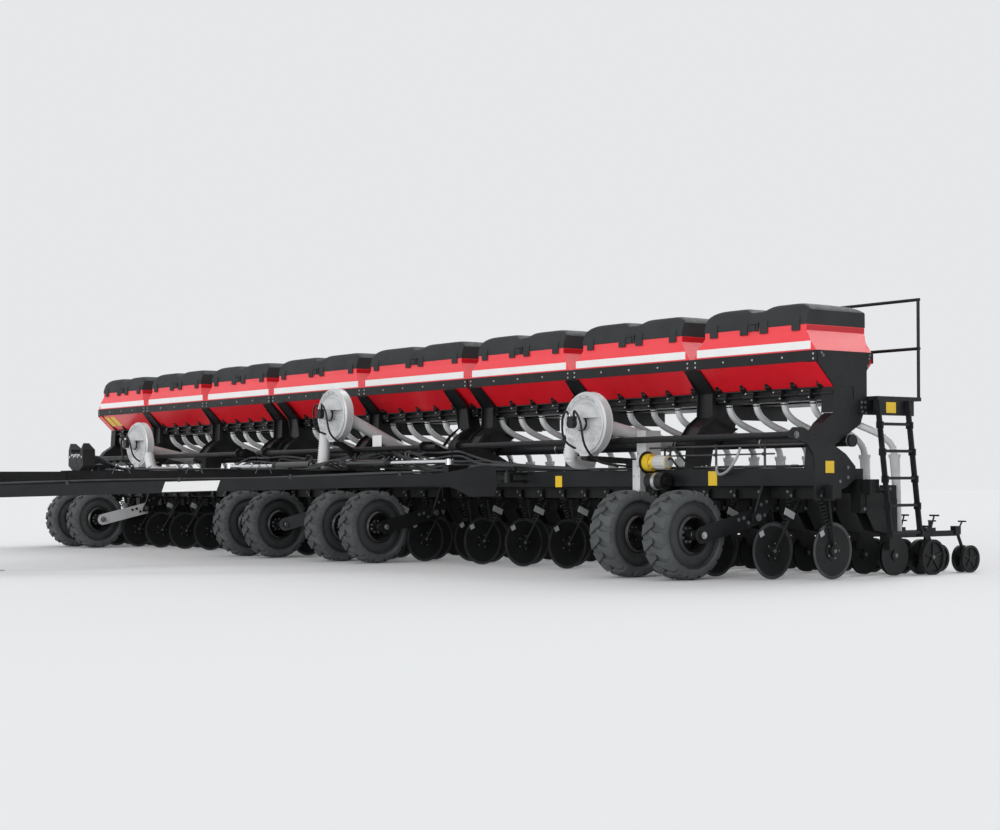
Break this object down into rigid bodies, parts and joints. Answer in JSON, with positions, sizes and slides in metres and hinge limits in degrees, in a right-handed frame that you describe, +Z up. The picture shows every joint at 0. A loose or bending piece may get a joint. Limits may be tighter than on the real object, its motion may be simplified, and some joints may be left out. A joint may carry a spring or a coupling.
{
  "type": "folding seed drill",
  "caption": "Wide towed seed drill in line for sowing, with red hoppers, disc row units, twin wheels, wings that fold forward, a telescoping tongue and draft arms.",
  "frame": {"origin": "middle of the machine's outline on the ground", "axes": "+X to the machine's left, -Y forward, +Z up"},
  "size_m": [17.0394, 8.9946, 2.877],
  "materials": {
    "black_steel": "semi-gloss black paint",
    "red_plastic": "gloss red moulding",
    "lid_grey": "grained dark grey moulding",
    "tool_steel": "black painted and bare steel",
    "hose_grey": "ribbed grey hose",
    "drop_tube": "milky tube",
    "fan_grey": "silver paint",
    "tyre": "matte rubber",
    "rim_black": "gloss black paint",
    "rod_chrome": "polished",
    "jack_zinc": "zinc plated",
    "gearbox_yellow": "yellow paint"
  },
  "bodies": {
    "centre": {"centre_frame": "black_steel", "centre_stands": "black_steel", "centre_hoppers": "red_plastic", "centre_coulters": "tool_steel", "centre_openers": "tool_steel", "centre_seed_hoses": "hose_grey", "centre_drop_tubes": "drop_tube", "centre_fan": "fan_grey", "centre_walkway": "black_steel", "centre_wheel_arms": "black_steel", "tongue": "black_steel"},
    "wing_left": {"left_frame": "black_steel", "left_stands": "black_steel", "left_hoppers": "red_plastic", "left_coulters": "tool_steel", "left_openers": "tool_steel", "left_seed_hoses": "hose_grey", "left_drop_tubes": "drop_tube", "left_fan": "fan_grey", "left_walkway": "black_steel", "left_wheel_arms": "black_steel", "drive_guard": "fan_grey", "drive_gearbox": "gearbox_yellow"},
    "wing_right": {"right_frame": "black_steel", "right_stands": "black_steel", "right_hoppers": "red_plastic", "right_coulters": "tool_steel", "right_openers": "tool_steel", "right_seed_hoses": "hose_grey", "right_drop_tubes": "drop_tube", "right_fan": "fan_grey", "right_walkway": "black_steel", "right_wheel_arms": "black_steel"},
    "wheels_left": {"tyres_left": "tyre", "rims_left": "rim_black"},
    "wheels_centre_left": {"tyres_centre_left": "tyre", "rims_centre_left": "rim_black"},
    "wheels_centre_right": {"tyres_centre_right": "tyre", "rims_centre_right": "rim_black"},
    "wheels_right": {"tyres_right": "tyre", "rims_right": "rim_black"},
    "lid_1": {"lid_1": "lid_grey"},
    "lid_2": {"lid_2": "lid_grey"},
    "lid_3": {"lid_3": "lid_grey"},
    "lid_4": {"lid_4": "lid_grey"},
    "lid_5": {"lid_5": "lid_grey"},
    "lid_6": {"lid_6": "lid_grey"},
    "lid_7": {"lid_7": "lid_grey"},
    "lid_8": {"lid_8": "lid_grey"},
    "tongue_slide": {"tongue_slide": "black_steel"},
    "jack_foot": {"jack_foot": "jack_zinc"},
    "draft_left": {"draft_arm_left": "black_steel"},
    "barrel_left": {"cylinder_barrel_left": "rim_black"},
    "rod_left": {"cylinder_rod_left": "rod_chrome"},
    "draft_right": {"draft_arm_right": "black_steel"},
    "barrel_right": {"cylinder_barrel_right": "rim_black"},
    "rod_right": {"cylinder_rod_right": "rod_chrome"}
  },
  "joints": [
    {"name": "fold_left", "type": "hinge", "parent": "centre", "child": "wing_left", "pos_m": [2.4, 1.8125, 1.03], "axis": [0, 0, -1], "range_deg": [0, 90]},
    {"name": "fold_right", "type": "hinge", "parent": "centre", "child": "wing_right", "pos_m": [-2.4, 1.8125, 1.03], "axis": [0, 0, 1], "range_deg": [0, 90]},
    {"name": "tongue_extend", "type": "slide", "parent": "centre", "child": "tongue_slide", "axis": [0, -1, 0], "range_m": [0, 1.739]},
    {"name": "draft_left_turn", "type": "hinge", "parent": "wing_left", "child": "draft_left", "pos_m": [3.6, 1.7325, 1.05], "axis": [0, 0, 1], "range_deg": [0, 102.8]},
    {"name": "barrel_left_turn", "type": "hinge", "parent": "centre", "child": "barrel_left", "pos_m": [0.45, 1.5425, 1.25], "axis": [0, 0, -1], "range_deg": [0, 1.03]},
    {"name": "rod_left_slide", "type": "slide", "parent": "barrel_left", "child": "rod_left", "axis": [-1, 0, 0], "range_m": [0, 0.57]},
    {"name": "draft_right_turn", "type": "hinge", "parent": "wing_right", "child": "draft_right", "pos_m": [-3.6, 1.7325, 1.05], "axis": [0, 0, -1], "range_deg": [0, 102.8]},
    {"name": "barrel_right_turn", "type": "hinge", "parent": "centre", "child": "barrel_right", "pos_m": [-0.45, 1.5425, 1.25], "axis": [0, 0, 1], "range_deg": [0, 1.03]},
    {"name": "rod_right_slide", "type": "slide", "parent": "barrel_right", "child": "rod_right", "axis": [1, 0, 0], "range_m": [0, 0.57]},
    {"name": "wheels_left_roll", "type": "hinge", "parent": "wing_left", "child": "wheels_left", "pos_m": [6.8, 1.1625, 0.4525], "axis": [1, 0, 0], "continuous": true},
    {"name": "wheels_centre_left_roll", "type": "hinge", "parent": "centre", "child": "wheels_centre_left", "pos_m": [1.2, 1.1625, 0.4525], "axis": [1, 0, 0], "continuous": true},
    {"name": "wheels_centre_right_roll", "type": "hinge", "parent": "centre", "child": "wheels_centre_right", "pos_m": [-1.2, 1.1625, 0.4525], "axis": [1, 0, 0], "continuous": true},
    {"name": "wheels_right_roll", "type": "hinge", "parent": "wing_right", "child": "wheels_right", "pos_m": [-6.8, 1.1625, 0.4525], "axis": [1, 0, 0], "continuous": true},
    {"name": "lid_1_open", "type": "hinge", "parent": "wing_right", "child": "lid_1", "pos_m": [-7.3, 2.9785, 2.56], "axis": [-1, 0, 0], "range_deg": [0, 80]},
    {"name": "lid_2_open", "type": "hinge", "parent": "wing_right", "child": "lid_2", "pos_m": [-5.4, 2.9785, 2.56], "axis": [-1, 0, 0], "range_deg": [0, 80]},
    {"name": "lid_3_open", "type": "hinge", "parent": "wing_right", "child": "lid_3", "pos_m": [-3.4, 2.9785, 2.56], "axis": [-1, 0, 0], "range_deg": [0, 80]},
    {"name": "lid_4_open", "type": "hinge", "parent": "centre", "child": "lid_4", "pos_m": [-1.2, 2.9785, 2.56], "axis": [-1, 0, 0], "range_deg": [0, 80]},
    {"name": "lid_5_open", "type": "hinge", "parent": "centre", "child": "lid_5", "pos_m": [1.2, 2.9785, 2.56], "axis": [-1, 0, 0], "range_deg": [0, 80]},
    {"name": "lid_6_open", "type": "hinge", "parent": "wing_left", "child": "lid_6", "pos_m": [3.4, 2.9785, 2.56], "axis": [-1, 0, 0], "range_deg": [0, 80]},
    {"name": "lid_7_open", "type": "hinge", "parent": "wing_left", "child": "lid_7", "pos_m": [5.4, 2.9785, 2.56], "axis": [-1, 0, 0], "range_deg": [0, 80]},
    {"name": "lid_8_open", "type": "hinge", "parent": "wing_left", "child": "lid_8", "pos_m": [7.3, 2.9785, 2.56], "axis": [-1, 0, 0], "range_deg": [0, 80]},
    {"name": "jack_raise", "type": "slide", "parent": "tongue_slide", "child": "jack_foot", "axis": [0, 0, 1], "range_m": [0, 0.3]}
  ],
  "couplings": [
    {"joint": "fold_right", "follows": "fold_left", "ratio": 1},
    {"joint": "tongue_extend", "follows": "fold_left", "m_per_rad": 1.1069},
    {"joint": "draft_left_turn", "follows": "fold_left", "ratio": 1.1421},
    {"joint": "barrel_left_turn", "follows": "fold_left", "ratio": 0.011367},
    {"joint": "rod_left_slide", "follows": "fold_left", "m_per_rad": 0.3627},
    {"joint": "draft_right_turn", "follows": "fold_left", "ratio": 1.1421},
    {"joint": "barrel_right_turn", "follows": "fold_left", "ratio": 0.011367},
    {"joint": "rod_right_slide", "follows": "fold_left", "m_per_rad": 0.3627}
  ]
}
